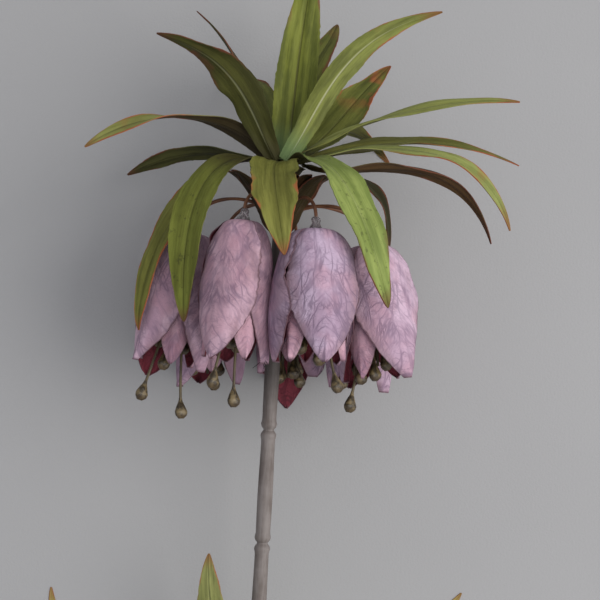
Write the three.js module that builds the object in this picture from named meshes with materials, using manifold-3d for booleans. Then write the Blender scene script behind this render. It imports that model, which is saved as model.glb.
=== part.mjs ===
// Crown imperial: an artificial stem, cut, lying on a flat surface with its crown raised.
// Millimetres, +Z up, +Y from the cut end to the crown.
//
// The flower is drawn in a frame of its own: x across it, y to its back and z up the stem,
// with the top of the crown disc at the origin. The exported group turns that frame over,
// so that the back of the flower and the cut end rest on the surface z = 0.

import * as THREE from "three";
import Module from "manifold-3d";
import { mergeVertices } from "three/addons/utils/BufferGeometryUtils.js";

const wasm = await Module();
wasm.setup();

// ---- driving dimensions ----

const STEM_LENGTH = 480; // crown disc to cut end
const STEM_RADIUS = 3.3;
const JOINT_SPACING = 51; // between the moulded rings
const FIRST_JOINT = 67; // crown disc to the highest ring
const WAIST_RADIUS = 2.8; // in the groove of a ring
const DISC_THICKNESS = 3; // crown disc, which holds the crown leaves
const DISC_CONE = 8; // height of the cone under the disc
const DISC_PEAK = 3; // height of the low cone on the disc
const PEG_RADIUS = 1.8; // the stem's top end, which pushes into the crown disc
const PEG_LENGTH = 6;
const BASE_RING_STEP = 3; // the crown leaves stand on three rings, this far apart

const BELL_RADIUS = 16.5;
const BELL_LENGTH = 61;
const BELL_GAP = 3; // between neighbours in the ring of bells
const OUTER_HALF_ANGLE = 64; // degrees of the bell that half an outer petal covers
const INNER_HALF_ANGLE = 36;
const PETAL_LAP = 1.1; // an outer petal's edges stand this far out and in, to lap each other
const WHORL_GAP = 3.6; // inner petals stand this far inside the outer petals
const PETAL_THICKNESS = 0.7;
const HUB_RADIUS = 0.255 * BELL_RADIUS; // where the petals of one whorl join
const HUB_THICKNESS = 1.2;
const CAP_LENGTH = 5; // glue cap on top of a bell
const PEDICEL_RADIUS = 0.8;
const PEDICEL_HEIGHT = 20; // crown disc to where the pedicels leave the stem

const FILAMENT_RADIUS = 0.5;
const ANTHER_LENGTH = 9.5;
const ANTHER_RADIUS = 2.8;

const LEAF_THICKNESS = 0.7;
const LEAF_TIP = 0.35; // half width that a leaf or petal keeps at its very tip
const LEAF_FOLD = 0.16; // rise of a blade's edges, as a share of its half width
const WHORL_HEIGHTS = [252, 335]; // crown disc to each whorl of stem leaves

const FIT_GAP = 0.4; // between pieces that touch in the real flower
const REST_PRESS = 1; // how much the rear bell's wall flattens under the flower

// ---- the flower's layout ----

const BELL_COUNT = 7;
const RING_RADIUS = (BELL_RADIUS + BELL_GAP / 2) / Math.sin(Math.PI / BELL_COUNT);
const DISC_RADIUS = 3 * BASE_RING_STEP + 1;
const ROUTE_REACH = 58; // the leaf routes below are drawn for bells that reach this far
const ROUTE_SPREAD = (RING_RADIUS + BELL_RADIUS) / ROUTE_REACH; // and widen with the bells

// A bell's azimuth round the stem, the reach of its top against the ring, the drop of its
// top below the disc, its lean outwards, its width and length against the named sizes, the
// azimuth of its first outer petal and the turn of its stamens.
function bell(azimuth, reach, drop, lean, wide, long, spin, sprig) {
  return { azimuth, reach, drop, lean, wide, long, spin, sprig };
}

const REAR_BELL = bell(80, 1.055, 38, -2, 0.96, 1.05, -30, 30);
const BELLS = [
  bell(197, 0.98, 32, 8, 1.0, 0.98, -140, 0),
  bell(247.5, 0.98, 26, 4, 0.93, 1.0, -122, -10),
  bell(292, 1.02, 28, 5, 1.0, 0.95, -75, 130),
  bell(342, 1.01, 33, 8, 1.0, 0.98, -65, -30),
  bell(27.5, 1.09, 35, -3, 0.93, 1.04, -20, 60),
  REAR_BELL,
  bell(133, 0.95, 38, 5, 0.96, 1.05, 100, 90),
];

// A crown leaf's base ring and azimuth, three more points of its midrib at thirds of its
// length, its half width, the azimuth that its back faces, and its roll at base and tip.
function crownLeaf(ring, base, third, twoThirds, tip, half, face, rollBase = 0, rollTip = 0) {
  return { ring, base, route: [third, twoThirds, tip], half, face, rollBase, rollTip };
}

const CROWN_LEAVES = [
  crownLeaf(1, 62, [3, 4, 31], [5, 3, 62], [9, 2, 93], 9.2, 90),
  crownLeaf(2, 230, [-16, -12, 25], [-31, -18, 43], [-59, -20, 55], 8.8, 255, 0, 15),
  crownLeaf(1, 190, [-12, 8, 24], [-25, 14, 49], [-44, 22, 71], 4.5, 175),
  crownLeaf(2, 185, [-30, -3, 18], [-60, -8, 18], [-89, -8, 4], 6.0, 190, -30, 60),
  crownLeaf(2, 148, [-32, 18, 6], [-52, 30, 4], [-73, 38, -5], 5.5, 160, 0, -60),
  crownLeaf(3, 225, [-32, -28, -7], [-40, -39, -38], [-39, -38, -71], 9.0, 240),
  crownLeaf(3, 185, [-36, -13, -8], [-54, -25, -41], [-59, -27, -76], 6.5, 230),
  crownLeaf(3, 267, [-4, -27, -2], [-2, -44, -16], [3, -53, -40], 10.3, 270),
  crownLeaf(3, 305, [23, -31, -2], [38, -46, -28], [49, -40, -60], 9.6, 300),
  crownLeaf(3, 25, [23, 7, 0], [42, 8, -8], [49, 4, -37], 5.5, 330),
  crownLeaf(2, 277, [14, -9, 28], [32, -10, 54], [67, -8, 73], 5.6, 280),
  crownLeaf(2, 58, [19, 17, 18], [31, 29, 34], [47, 42, 53], 9.6, 80),
  crownLeaf(2, 108, [1, 15, 28], [12, 27, 52], [21, 43, 71], 7.2, 85),
  crownLeaf(1, 330, [30, 0, 19], [65, -4, 31], [104, -6, 35], 5.2, 0, -10, -35),
  crownLeaf(2, 10, [35, 5, 12], [69, 4, 15], [106, 2, 7], 5.2, 5, -40, -15),
  crownLeaf(2, 322, [33, -6, 9], [73, -10, 8], [102, -14, -23], 5.6, 350, 0, -40),
  crownLeaf(3, 345, [32, -9, 0], [67, -6, 0], [95, -2, -29], 5.4, 350, 0, 35),
  crownLeaf(3, 145, [-24, 14, 1], [-40, 20, -12], [-50, 18, -39], 4.6, 160),
  crownLeaf(3, 105, [-8, 26, 22], [-16, 50, 40], [-30, 76, 44], 7.0, 100),
  crownLeaf(3, 65, [14, 28, 16], [30, 52, 22], [50, 72, 8], 7.0, 65),
];

// A stem leaf's whorl and base azimuth, then as above, with heights from its whorl.
function stemLeaf(whorl, base, third, twoThirds, tip, half, face, rollBase = 0, rollTip = 0) {
  return { whorl, base, route: [third, twoThirds, tip], half, face, rollBase, rollTip };
}

const STEM_LEAVES = [
  stemLeaf(0, 230, [-12, -12, 22], [-20, -18, 50], [-23, -18, 79], 8.2, 255),
  stemLeaf(0, 165, [-40, 16, 2], [-78, 33, 16], [-98, 43, 52], 6.5, 180, 30, 85),
  stemLeaf(0, 20, [34, 13, 10], [66, 28, 30], [94, 43, 60], 6.5, 0, -30, -85),
  stemLeaf(0, 300, [14, -20, 14], [30, -34, 22], [52, -38, 16], 6.5, 300),
  stemLeaf(0, 90, [-3, 18, 14], [-8, 32, 28], [-12, 42, 44], 5.5, 90),
  stemLeaf(1, 200, [-30, -8, 14], [-62, -14, 22], [-92, -12, 12], 6.5, 200, 0, 30),
  stemLeaf(1, 270, [4, -22, 18], [10, -38, 38], [16, -46, 64], 6.5, 270),
  stemLeaf(1, 335, [30, -10, 10], [60, -18, 8], [88, -18, -12], 6.5, 340, 0, -30),
  stemLeaf(1, 45, [24, 12, 12], [52, 20, 30], [78, 31, 52], 6.0, 20, -40, -85),
  stemLeaf(1, 135, [-24, 12, 4], [-50, 20, -2], [-76, 24, -14], 6.0, 160, 40, 85),
];

// The flower lies on the back of its rear bell and on the edge of its cut end.
const REST_DEPTH = REAR_BELL.reach * RING_RADIUS + REAR_BELL.wide * BELL_RADIUS - REST_PRESS;
const REST_HEIGHT = REAR_BELL.drop + 0.45 * BELL_LENGTH;
const TILT = Math.atan((REST_DEPTH - STEM_RADIUS) / (STEM_LENGTH - REST_HEIGHT));
const SURFACE_UP = new THREE.Vector3(0, -Math.cos(TILT), Math.sin(TILT));
const ORIGIN_HEIGHT = STEM_LENGTH * Math.sin(TILT) + STEM_RADIUS * Math.cos(TILT);

// ---- colours ----

const COLOURS = {
  stem: "#6e625c",
  pedicel: "#5a3226",
  outer: "#a8899c",
  inner: "#9c6f80",
  stamen: "#8a7c3c",
  leaf: "#66782f",
};

function material(colour, roughness) {
  return new THREE.MeshStandardMaterial({ color: colour, roughness, metalness: 0 });
}

const MATERIALS = {
  stem: material(COLOURS.stem, 0.55),
  pedicel: material(COLOURS.pedicel, 0.5),
  outer: material(COLOURS.outer, 0.85),
  inner: material(COLOURS.inner, 0.85),
  stamen: material(COLOURS.stamen, 0.6),
  leaf: material(COLOURS.leaf, 0.7),
};

// ---- helpers ----

const rad = THREE.MathUtils.degToRad;

function around(azimuth, radius, height = 0) {
  return new THREE.Vector3(radius * Math.cos(rad(azimuth)), radius * Math.sin(rad(azimuth)), height);
}

function heightOf(point) {
  return point.dot(SURFACE_UP) + ORIGIN_HEIGHT;
}

// Moves the two faces of a thin sheet up to the surface where they would sink into it.
function rest(one, other, thickness) {
  const [low, high] = heightOf(one) < heightOf(other) ? [one, other] : [other, one];
  low.addScaledVector(SURFACE_UP, Math.max(0, -heightOf(low)));
  const least = Math.max(0, Math.min(thickness, thickness - heightOf(low)));
  high.addScaledVector(SURFACE_UP, Math.max(0, least - heightOf(high)));
}

// A closed sheet over the surface pointAt(v, u), v from 0 to 1 and u from -1 to 1.
function sheet(pointAt, rows, columns, thickness) {
  const front = [];
  const back = [];
  const step = 1e-3;
  for (let i = 0; i <= rows; i++) {
    for (let j = 0; j <= columns; j++) {
      const v = i / rows;
      const u = (2 * j) / columns - 1;
      const middle = pointAt(v, u);
      const along = pointAt(v + step, u).sub(pointAt(v - step, u));
      const across = pointAt(v, u + step).sub(pointAt(v, u - step));
      const normal = across.cross(along).normalize();
      const one = middle.clone().addScaledVector(normal, thickness / 2);
      const other = middle.clone().addScaledVector(normal, -thickness / 2);
      rest(one, other, thickness);
      front.push(one);
      back.push(other);
    }
  }
  return closedSheet(front, back, rows, columns);
}

function closedSheet(front, back, rows, columns) {
  const width = columns + 1;
  const offset = front.length;
  const faces = [];
  const quad = (a, b, c, d) => faces.push(a, b, c, a, c, d);
  for (let i = 0; i < rows; i++) {
    for (let j = 0; j < columns; j++) {
      const a = i * width + j;
      quad(a, a + 1, a + 1 + width, a + width);
      quad(offset + a, offset + a + width, offset + a + 1 + width, offset + a + 1);
    }
  }
  const rim = [];
  for (let j = 0; j < columns; j++) rim.push(j);
  for (let i = 0; i < rows; i++) rim.push(i * width + columns);
  for (let j = columns; j > 0; j--) rim.push(rows * width + j);
  for (let i = rows; i > 0; i--) rim.push(i * width);
  rim.forEach((a, k) => {
    const b = rim[(k + 1) % rim.length];
    quad(b, a, offset + a, offset + b);
  });
  const geometry = new THREE.BufferGeometry().setFromPoints([...front, ...back]);
  geometry.setIndex(faces);
  return facingOut(geometry);
}

// Turns a closed mesh's faces round if they point inwards.
function facingOut(geometry) {
  const place = geometry.getAttribute("position");
  const index = geometry.getIndex().array;
  const [a, b, c] = [new THREE.Vector3(), new THREE.Vector3(), new THREE.Vector3()];
  let volume = 0;
  for (let i = 0; i < index.length; i += 3) {
    a.fromBufferAttribute(place, index[i]);
    b.fromBufferAttribute(place, index[i + 1]);
    c.fromBufferAttribute(place, index[i + 2]);
    volume += a.dot(b.cross(c));
  }
  if (volume < 0) {
    for (let i = 0; i < index.length; i += 3) {
      [index[i + 1], index[i + 2]] = [index[i + 2], index[i + 1]];
    }
  }
  return geometry;
}

function solid(geometry) {
  const bare = geometry.clone();
  bare.deleteAttribute("normal");
  bare.deleteAttribute("uv");
  const merged = mergeVertices(bare, 1e-4);
  return new wasm.Manifold(
    new wasm.Mesh({
      numProp: 3,
      vertProperties: merged.getAttribute("position").array,
      triVerts: new Uint32Array(merged.getIndex().array),
    }),
  );
}

function joined(geometries) {
  const whole = geometries.map(solid).reduce((sum, next) => sum.add(next));
  const mesh = whole.getMesh();
  const geometry = new THREE.BufferGeometry();
  geometry.setAttribute("position", new THREE.BufferAttribute(new Float32Array(mesh.vertProperties), 3));
  geometry.setIndex(new THREE.BufferAttribute(new Uint32Array(mesh.triVerts), 1));
  return geometry;
}

// A round body along an axis: its profile is pairs of distance along the axis and radius.
function turned(profile, sides, from, direction) {
  const points = profile.map(([along, radius]) => new THREE.Vector2(radius, along));
  const geometry = new THREE.LatheGeometry(points, sides);
  const turn = new THREE.Quaternion().setFromUnitVectors(new THREE.Vector3(0, 1, 0), direction);
  return geometry.applyQuaternion(turn).translate(from.x, from.y, from.z);
}

// A round bar along a curve.
function bar(curve, radius, sides, steps) {
  const section = new THREE.Shape();
  for (let i = 0; i < sides; i++) {
    const angle = (2 * Math.PI * i) / sides;
    section[i ? "lineTo" : "moveTo"](radius * Math.cos(angle), radius * Math.sin(angle));
  }
  section.closePath();
  return new THREE.ExtrudeGeometry(section, { steps, extrudePath: curve, curveSegments: 1 });
}

const flower = new THREE.Group();

function add(name, geometry, look) {
  const mesh = new THREE.Mesh(geometry, look);
  mesh.name = name;
  flower.add(mesh);
}

// ---- crown disc and stem ----

const UP = new THREE.Vector3(0, 0, 1);
const HEAD_HEIGHT = DISC_THICKNESS + DISC_CONE;

// The head that the crown leaves are set in, with a socket for the stem's peg.
function crownDiscGeometry() {
  const socket = PEG_RADIUS + FIT_GAP;
  const profile = [
    [DISC_PEAK, 0],
    [0, DISC_RADIUS],
    [-DISC_THICKNESS, DISC_RADIUS],
    [-HEAD_HEIGHT, STEM_RADIUS],
    [-HEAD_HEIGHT, socket],
    [-HEAD_HEIGHT + PEG_LENGTH, socket],
    [-HEAD_HEIGHT + PEG_LENGTH, 0],
  ];
  return turned(profile.reverse(), 12, new THREE.Vector3(), UP);
}

function stemGeometry() {
  const shoulder = -HEAD_HEIGHT - FIT_GAP;
  const profile = [
    [shoulder + PEG_LENGTH, 0],
    [shoulder + PEG_LENGTH, PEG_RADIUS],
    [shoulder, PEG_RADIUS],
    [shoulder, STEM_RADIUS],
  ];
  for (let ring = FIRST_JOINT; ring < STEM_LENGTH - 10; ring += JOINT_SPACING) {
    profile.push([-ring + 1.8, STEM_RADIUS], [-ring + 0.5, WAIST_RADIUS]);
    profile.push([-ring - 0.5, WAIST_RADIUS], [-ring - 1.8, STEM_RADIUS]);
  }
  profile.push([-STEM_LENGTH, STEM_RADIUS], [-STEM_LENGTH, 0]);
  return turned(profile.reverse(), 12, new THREE.Vector3(), UP);
}

// ---- leaves ----

// The curve that passes through four points at thirds of its parameter.
function through(points, t) {
  const weights = [
    -4.5 * (t - 1 / 3) * (t - 2 / 3) * (t - 1),
    13.5 * t * (t - 2 / 3) * (t - 1),
    -13.5 * t * (t - 1 / 3) * (t - 1),
    4.5 * t * (t - 1 / 3) * (t - 2 / 3),
  ];
  const sum = new THREE.Vector3();
  points.forEach((point, i) => sum.addScaledVector(point, weights[i]));
  return sum;
}

// Half width along a strap leaf: narrow at its base, widest near its middle, pointed.
function strap(t, half) {
  const narrow = 0.28;
  const widest = 0.48;
  const share =
    t < widest
      ? narrow + (1 - narrow) * Math.sin(((Math.PI / 2) * Math.max(t, 0)) / widest)
      : Math.max(Math.cos(((Math.PI / 2) * (Math.min(t, 1) - widest)) / (1 - widest)), 0) ** 0.8;
  return LEAF_TIP + (half - LEAF_TIP) * share;
}

// A leaf's surface: a midrib, and a blade folded a little towards its upper side.
function leafGeometry({ half, face, rollBase, rollTip }, points) {
  const facing = around(face + 90, 1);
  const pointAt = (t, u) => {
    const middle = through(points, t);
    const along = through(points, t + 1e-3).sub(through(points, t - 1e-3)).normalize();
    const side = facing.clone().addScaledVector(along, -facing.dot(along)).normalize();
    const under = side.clone().cross(along);
    const turn = rad(THREE.MathUtils.lerp(rollBase, rollTip, t));
    const across = side.clone().multiplyScalar(Math.cos(turn)).addScaledVector(under, Math.sin(turn));
    const up = side.multiplyScalar(Math.sin(turn)).addScaledVector(under, -Math.cos(turn));
    const width = strap(t, half);
    return middle.addScaledVector(across, u * width).addScaledVector(up, LEAF_FOLD * Math.abs(u) * width);
  };
  return sheet(pointAt, 8, 2, LEAF_THICKNESS);
}

// A crown leaf stands just above the disc's low cone, on its ring.
function crownLeafPoints({ ring, base, route }) {
  const radius = ring * BASE_RING_STEP;
  const seat = DISC_PEAK * (1 - radius / DISC_RADIUS) + 4 * FIT_GAP;
  const spread = ([x, y, z]) => new THREE.Vector3(x * ROUTE_SPREAD, y * ROUTE_SPREAD, z);
  return [around(base, radius, seat), ...route.map(spread)];
}

function stemLeafPoints({ whorl, base, route }) {
  const level = WHORL_HEIGHTS[whorl];
  const start = around(base, STEM_RADIUS + 1.5 * FIT_GAP + LEAF_THICKNESS / 2, -level);
  return [start, ...route.map(([x, y, z]) => new THREE.Vector3(x, y, z - level))];
}

// ---- bells ----

// A bell's own frame: its top, its axis to the mouth, and two directions across.
function bellFrame({ azimuth, reach, drop, lean }) {
  const top = around(azimuth, reach * RING_RADIUS, -drop);
  const axis = around(azimuth, Math.sin(rad(lean)), -Math.cos(rad(lean)));
  const right = new THREE.Vector3(1, 0, 0).addScaledVector(axis, -axis.x).normalize();
  const back = right.clone().cross(axis);
  return { top, axis, right, back };
}

function inBell({ top, axis, right, back }, along, azimuth, radius) {
  return top
    .clone()
    .addScaledVector(axis, along)
    .addScaledVector(right, radius * Math.cos(azimuth))
    .addScaledVector(back, radius * Math.sin(azimuth));
}

// Radius of a bell at a distance down its axis: a blunt dome, then nearly straight walls.
function bellRadius(along, radius, length) {
  const full = 0.42 * length;
  const dome = Math.min(Math.max(along, 0.01) / full, 1) ** 0.22;
  const taper = Math.max(0, along - full) / (length - full);
  return radius * dome * (1 - 0.1 * taper * taper);
}

// The share of its full width that a petal has at a share of its length.
function petalShare(v) {
  const widest = 0.55;
  return v < widest ? 1 : Math.max(1 - ((v - widest) / (1 - widest)) ** 2, 0) ** 0.6;
}

function petalGeometry(frame, azimuth, { radius, length, start, halfAngle, lap, columns }) {
  const pointAt = (v, u) => {
    const along = start + (length - start) * Math.max(v, 0) ** 1.6;
    const wall = bellRadius(along - start + 0.05, radius, length);
    const half = rad(halfAngle) * petalShare(v) + LEAF_TIP / wall;
    return inBell(frame, along, rad(azimuth) + u * half, wall + lap * u * Math.min(v / 0.3, 1));
  };
  return sheet(pointAt, 5, columns, PETAL_THICKNESS);
}

function whorlGeometry(frame, whorl) {
  const hub = turned(
    [[0, 0], [0, HUB_RADIUS], [HUB_THICKNESS, HUB_RADIUS * 1.25], [HUB_THICKNESS, 0]],
    6,
    inBell(frame, whorl.start - PETAL_THICKNESS / 2, 0, 0),
    frame.axis,
  );
  const petals = [0, 120, 240].map((turn) => petalGeometry(frame, whorl.spin + turn, whorl));
  return joined([hub, ...petals]);
}

// Each stamen's azimuth in its bell, its tip's distance from the axis and its reach against
// the petals. First those that are each bell's own, some of which hang out of it, then those
// that every bell has inside.
const OWN_STAMENS = [
  [[-154, 8, 1.13], [-20, 9.6, 1.21], [-105, 4, 0.88]],
  [[-152, 7.3, 1.05], [-62, 4, 1.17]],
  [[-21, 9.6, 1.06], [-60, 4, 0.86]],
  [[-167, 12.5, 1.07], [-150, 8, 0.87], [-110, 5, 0.85]],
  [[-140, 6, 0.86]],
  [[30, 5, 0.82], [160, 4, 0.8]],
  [[-60, 6, 0.86]],
];
const INNER_STAMENS = [
  [20, 5, 0.74],
  [90, 6, 0.78],
  [150, 5, 0.72],
  [265, 4, 0.76],
  [325, 4, 0.7],
];
const STAMEN_COUNT = 6;

function stamensOf(i, sprig) {
  const own = OWN_STAMENS[i];
  const inner = INNER_STAMENS.map(([turn, away, share]) => [sprig + turn, away, share]);
  return [...own, ...inner.slice(0, STAMEN_COUNT - own.length)];
}

// Six stamens and a pistil on one small foot.
function stamensGeometry(frame, { stamens, length, start }) {
  const foot = [[0, 0], [0, 1.8], [1.2, 1.8], [1.2, 0]];
  const pieces = [turned(foot, 6, inBell(frame, start, 0, 0), frame.axis)];
  for (const [turn, away, share] of stamens) {
    const azimuth = rad(turn);
    const reach = length * share;
    const curve = new THREE.QuadraticBezierCurve3(
      inBell(frame, start + 0.5, azimuth, 1),
      inBell(frame, reach * 0.6, azimuth, 0.35 * away),
      inBell(frame, reach, azimuth, away),
    );
    const anther = [[-0.8, 0], [0.6 * ANTHER_LENGTH, ANTHER_RADIUS], [ANTHER_LENGTH, 0]];
    pieces.push(bar(curve, FILAMENT_RADIUS, 3, 3));
    pieces.push(turned(anther, 5, curve.getPoint(1), curve.getTangent(1)));
  }
  const pistil = new THREE.LineCurve3(inBell(frame, start + 0.5, 0, 0), inBell(frame, 0.9 * length, 0, 0));
  pieces.push(bar(pistil, 1.3 * FILAMENT_RADIUS, 4, 1));
  return joined(pieces);
}

// A pedicel arches from the stem to the bell, where a cap of glue holds the petals.
function pedicelGeometry(frame, azimuth, stagger) {
  const start = around(azimuth, STEM_RADIUS + FIT_GAP + PEDICEL_RADIUS, -PEDICEL_HEIGHT - stagger);
  const capTop = inBell(frame, -CAP_LENGTH - FIT_GAP, 0, 0);
  const curve = new THREE.CubicBezierCurve3(
    start,
    start.clone().add(around(azimuth, 14, 9)),
    capTop.clone().addScaledVector(frame.axis, -11),
    capTop.clone().addScaledVector(frame.axis, 1),
  );
  const capEnd = CAP_LENGTH - PETAL_THICKNESS;
  const cap = [[0, 0], [0, 1.3], [0.6 * CAP_LENGTH, 2], [capEnd, 3.1], [capEnd, 0]];
  return joined([bar(curve, PEDICEL_RADIUS, 5, 7), turned(cap, 6, capTop, frame.axis)]);
}

// ---- assembly ----

const numbered = (name, i) => name + "_" + String(i + 1).padStart(2, "0");

add("crown_disc", crownDiscGeometry(), MATERIALS.stem);
add("stem", stemGeometry(), MATERIALS.stem);

BELLS.forEach((each, i) => {
  const frame = bellFrame(each);
  const radius = BELL_RADIUS * each.wide;
  const length = BELL_LENGTH * each.long;
  const inside = HUB_THICKNESS + PETAL_THICKNESS + FIT_GAP;
  const outerWhorl = {
    spin: each.spin,
    radius,
    length,
    start: 0,
    halfAngle: OUTER_HALF_ANGLE,
    lap: PETAL_LAP,
    columns: 4,
  };
  const innerWhorl = {
    spin: each.spin + 60,
    radius: radius - WHORL_GAP,
    length: length - 1,
    start: inside,
    halfAngle: INNER_HALF_ANGLE,
    lap: 0,
    columns: 2,
  };
  const sprig = { stamens: stamensOf(i, each.sprig), length, start: 2 * inside };
  add(numbered("pedicel", i), pedicelGeometry(frame, each.azimuth, i % 2), MATERIALS.pedicel);
  add(numbered("outer_petals", i), whorlGeometry(frame, outerWhorl), MATERIALS.outer);
  add(numbered("inner_petals", i), whorlGeometry(frame, innerWhorl), MATERIALS.inner);
  add(numbered("stamens", i), stamensGeometry(frame, sprig), MATERIALS.stamen);
});

CROWN_LEAVES.forEach((leaf, i) => {
  add(numbered("crown_leaf", i), leafGeometry(leaf, crownLeafPoints(leaf)), MATERIALS.leaf);
});

STEM_LEAVES.forEach((leaf, i) => {
  add(numbered("stem_leaf", i), leafGeometry(leaf, stemLeafPoints(leaf)), MATERIALS.leaf);
});

// Turned over, raised at the crown, and centred over the origin.
flower.rotation.x = TILT - Math.PI / 2;
flower.position.z = ORIGIN_HEIGHT;
flower.updateMatrixWorld(true);
const box = new THREE.Box3().setFromObject(flower, true);
flower.position.x -= (box.min.x + box.max.x) / 2;
flower.position.y -= (box.min.y + box.max.y) / 2;

const crownImperial = new THREE.Group();
crownImperial.add(flower);

export default crownImperial;
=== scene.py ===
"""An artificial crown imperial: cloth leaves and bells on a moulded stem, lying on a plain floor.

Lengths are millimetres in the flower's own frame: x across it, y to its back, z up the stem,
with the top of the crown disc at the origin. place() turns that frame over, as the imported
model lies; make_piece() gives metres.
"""

import math

import bpy
import numpy as np
from mathutils import Matrix, Vector


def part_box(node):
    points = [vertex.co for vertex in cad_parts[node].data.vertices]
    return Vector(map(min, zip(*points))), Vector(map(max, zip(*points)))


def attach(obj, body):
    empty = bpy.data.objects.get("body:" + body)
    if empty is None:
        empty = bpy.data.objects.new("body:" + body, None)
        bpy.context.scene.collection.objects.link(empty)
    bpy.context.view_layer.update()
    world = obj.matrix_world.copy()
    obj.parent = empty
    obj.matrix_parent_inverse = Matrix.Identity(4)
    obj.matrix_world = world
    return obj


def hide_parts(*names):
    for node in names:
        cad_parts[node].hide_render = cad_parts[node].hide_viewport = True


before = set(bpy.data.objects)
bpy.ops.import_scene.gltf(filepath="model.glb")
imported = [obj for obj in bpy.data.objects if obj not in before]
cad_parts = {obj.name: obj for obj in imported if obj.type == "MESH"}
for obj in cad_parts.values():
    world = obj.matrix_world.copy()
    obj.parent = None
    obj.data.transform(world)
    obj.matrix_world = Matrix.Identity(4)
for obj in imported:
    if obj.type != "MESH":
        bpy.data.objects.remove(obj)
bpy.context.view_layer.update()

# ---- driving dimensions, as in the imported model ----

MM = 0.001
STEM_LENGTH = 480
STEM_RADIUS = 3.3
JOINT_SPACING = 51
FIRST_JOINT = 67
WAIST_RADIUS = 2.8
DISC_RADIUS = 10
DISC_PEAK = 3
HEAD_HEIGHT = 11
BASE_RING_STEP = 3

BELL_RADIUS = 16.5
BELL_LENGTH = 61
BELL_GAP = 3
RING_RADIUS = (BELL_RADIUS + BELL_GAP / 2) / math.sin(math.pi / 7)
OUTER_HALF_ANGLE = 64
INNER_HALF_ANGLE = 36
PETAL_LAP = 1.1
WHORL_GAP = 3.6
HUB_RADIUS = 0.255 * BELL_RADIUS
HUB_THICKNESS = 1.2
INNER_START = 2.3
CAP_LENGTH = 5
PEDICEL_RADIUS = 0.8
PEDICEL_HEIGHT = 20
ANTHER_LENGTH = 9.5
ANTHER_RADIUS = 2.8
FIT_GAP = 0.4

PETAL_CLOTH = 0.4
LEAF_CLOTH = 0.45
TIP_WIDTH = 0.35
LEAF_FOLD = 0.16
WHORL_HEIGHTS = (252, 335)

PETAL_ROWS, PETAL_COLUMNS = 46, 28
LEAF_ROWS, LEAF_COLUMNS = 64, 24

# ---- the flower's own frame and the lying one ----

REST_DEPTH = 1.055 * RING_RADIUS + 0.96 * BELL_RADIUS - 1
REST_HEIGHT = 38 + 0.45 * BELL_LENGTH
TILT = math.atan((REST_DEPTH - STEM_RADIUS) / (STEM_LENGTH - REST_HEIGHT))
SIN, COS = math.sin(TILT), math.cos(TILT)
ORIGIN_HEIGHT = STEM_LENGTH * SIN + STEM_RADIUS * COS
STEM_LOW, STEM_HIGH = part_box("stem")
OFFSET_X = (STEM_LOW.x + STEM_HIGH.x) / 2 / MM
OFFSET_Y = STEM_LOW.y / MM + STEM_LENGTH * COS + STEM_RADIUS * SIN


def turn_over(vectors):
    """Directions of the flower's frame in the lying frame."""
    x, y, z = np.moveaxis(np.asarray(vectors, float), -1, 0)
    return np.stack([x, y * SIN + z * COS, z * SIN - y * COS], -1)


def place(points):
    """Points of the flower's frame in the lying frame, in millimetres."""
    return turn_over(points) + np.array([OFFSET_X, OFFSET_Y, ORIGIN_HEIGHT])


def around(azimuth, radius, height=0.0):
    a = math.radians(azimuth)
    return np.array([radius * math.cos(a), radius * math.sin(a), height])


def unit(vectors):
    return vectors / np.maximum(np.linalg.norm(vectors, axis=-1, keepdims=True), 1e-9)


RIPPLE_WAVES = 7


def ripples(seed, x, y):
    """A smooth random surface over x and y, mostly from -1 to 1."""
    rng = np.random.default_rng(seed)
    total = 0
    for _ in range(RIPPLE_WAVES):
        heading, phase = rng.uniform(0, 2 * math.pi, 2)
        pace = rng.uniform(0.7, 1.5) * 2 * math.pi
        total = total + np.sin(pace * (x * math.cos(heading) + y * math.sin(heading)) + phase)
    return total / math.sqrt(RIPPLE_WAVES)


# ---- meshes ----


class Shell:
    """A closed surface: its points, its faces, and for each point how far along and across
    the piece it is, which side it is on, and its place on the flat cloth in millimetres."""

    def __init__(self, points, faces, along, across, side, cloth, finish=0):
        self.points = np.asarray(points, float)
        self.faces = np.asarray(faces, int)
        count = len(self.points)
        self.marks = {
            "along": np.broadcast_to(along, count),
            "across": np.broadcast_to(across, count),
            "side": np.broadcast_to(side, count),
        }
        self.cloth = np.asarray(cloth, float)
        self.finish = finish
        if self.volume() < 0:
            self.faces = self.faces[:, ::-1]

    def volume(self):
        a, b, c, d = (self.points[self.faces[:, k]] for k in range(4))
        first = np.einsum("ij,ij->i", a, np.cross(b, c))
        second = np.einsum("ij,ij->i", a, np.cross(c, d))
        return (first + second).sum()


def grid_faces(rows, columns, wrap=False):
    """Faces over a grid of points, rows by columns of faces. wrap joins the last column on."""
    width = columns if wrap else columns + 1
    i, j = np.meshgrid(np.arange(rows), np.arange(columns), indexing="ij")
    k = (j + 1) % width
    quads = [i * width + j, i * width + k, (i + 1) * width + k, (i + 1) * width + j]
    return np.stack(quads, -1).reshape(-1, 4)


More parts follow.
